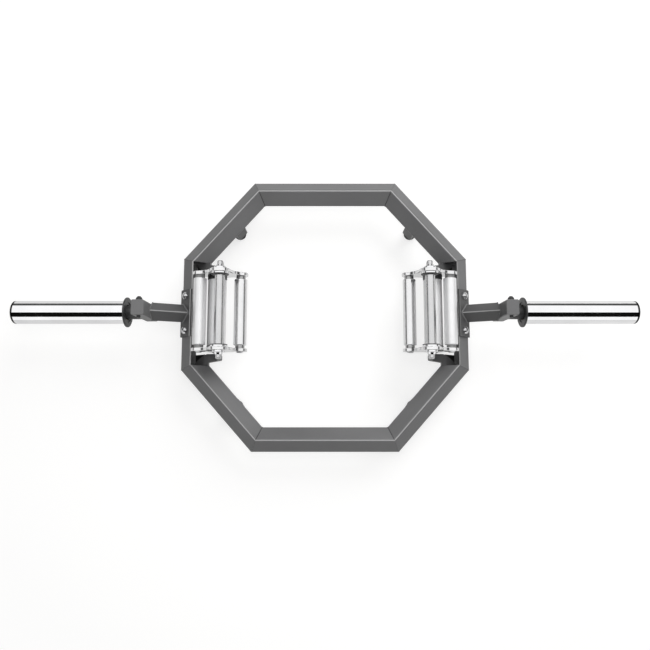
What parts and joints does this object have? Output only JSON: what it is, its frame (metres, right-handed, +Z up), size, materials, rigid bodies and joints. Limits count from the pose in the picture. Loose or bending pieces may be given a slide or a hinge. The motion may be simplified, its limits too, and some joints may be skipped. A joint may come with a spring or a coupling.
{
  "type": "hex trap bar",
  "caption": "Eight-sided trap bar of square tube set corner-up, with turning multi-grip handle cassettes and chrome loading sleeves on raised arms.",
  "frame": {"origin": "centre of the floor contact plane under the frame", "axes": "+X along the loading sleeves to the right, +Y to the back rail, +Z up"},
  "size_m": [1.345, 0.5994, 0.185],
  "materials": {
    "frame_paint": "satin powder coat",
    "polished_chrome": "polished",
    "satin_chrome": "satin",
    "dark_steel": "blackened",
    "rubber": "matt",
    "bronze": "machined",
    "plated_steel": "zinc plated"
  },
  "bodies": {
    "frame": {"arm_left": "frame_paint", "arm_right": "frame_paint", "axle_left": "satin_chrome", "axle_lug_back_left": "frame_paint", "axle_lug_back_right": "frame_paint", "axle_lug_front_left": "frame_paint", "axle_lug_front_right": "frame_paint", "axle_nuts_left": "satin_chrome", "axle_nuts_right": "satin_chrome", "axle_right": "satin_chrome", "corner_webs": "frame_paint", "diagonal_back_left": "frame_paint", "diagonal_back_right": "frame_paint", "diagonal_front_left": "frame_paint", "diagonal_front_right": "frame_paint", "foot_brackets": "frame_paint", "post_cap_left": "frame_paint", "post_cap_right": "frame_paint", "post_left": "frame_paint", "post_pins": "dark_steel", "post_right": "frame_paint", "rail_back": "frame_paint", "rail_front": "frame_paint", "rubber_feet": "rubber", "saddle_bolts": "plated_steel", "saddle_left": "frame_paint", "saddle_nuts": "plated_steel", "saddle_right": "frame_paint", "side_channel_left": "frame_paint", "side_channel_right": "frame_paint", "spindle_left": "dark_steel", "spindle_right": "dark_steel", "spindle_screw_left": "plated_steel", "spindle_screw_right": "plated_steel"},
    "left_cassette": {"grip_bolts_left": "plated_steel", "grip_inner_left": "satin_chrome", "grip_outer_left": "satin_chrome", "grip_thick_left": "satin_chrome", "hub_bushes_left": "satin_chrome", "hub_washers_left": "dark_steel", "plate_back_left": "satin_chrome", "plate_front_left": "satin_chrome", "thick_grip_collars_left": "dark_steel"},
    "right_cassette": {"grip_bolts_right": "plated_steel", "grip_inner_right": "satin_chrome", "grip_outer_right": "satin_chrome", "grip_thick_right": "satin_chrome", "hub_bushes_right": "satin_chrome", "hub_washers_right": "dark_steel", "plate_back_right": "satin_chrome", "plate_front_right": "satin_chrome", "thick_grip_collars_right": "dark_steel"},
    "left_sleeve": {"sleeve_bushes_left": "bronze", "sleeve_cap_left": "polished_chrome", "sleeve_collar_left": "dark_steel", "sleeve_left": "polished_chrome"},
    "right_sleeve": {"sleeve_bushes_right": "bronze", "sleeve_cap_right": "polished_chrome", "sleeve_collar_right": "dark_steel", "sleeve_right": "polished_chrome"}
  },
  "joints": [
    {"name": "left_cassette_swing", "type": "hinge", "parent": "frame", "child": "left_cassette", "pos_m": [-0.2215, 0, 0.153], "axis": [0, 1, 0], "continuous": true},
    {"name": "left_sleeve_spin", "type": "hinge", "parent": "frame", "child": "left_sleeve", "pos_m": [-0.55, 0, 0.107], "axis": [1, 0, 0], "continuous": true},
    {"name": "right_cassette_swing", "type": "hinge", "parent": "frame", "child": "right_cassette", "pos_m": [0.2215, 0, 0.153], "axis": [0, 1, 0], "continuous": true},
    {"name": "right_sleeve_spin", "type": "hinge", "parent": "frame", "child": "right_sleeve", "pos_m": [0.55, 0, 0.107], "axis": [1, 0, 0], "continuous": true}
  ]
}
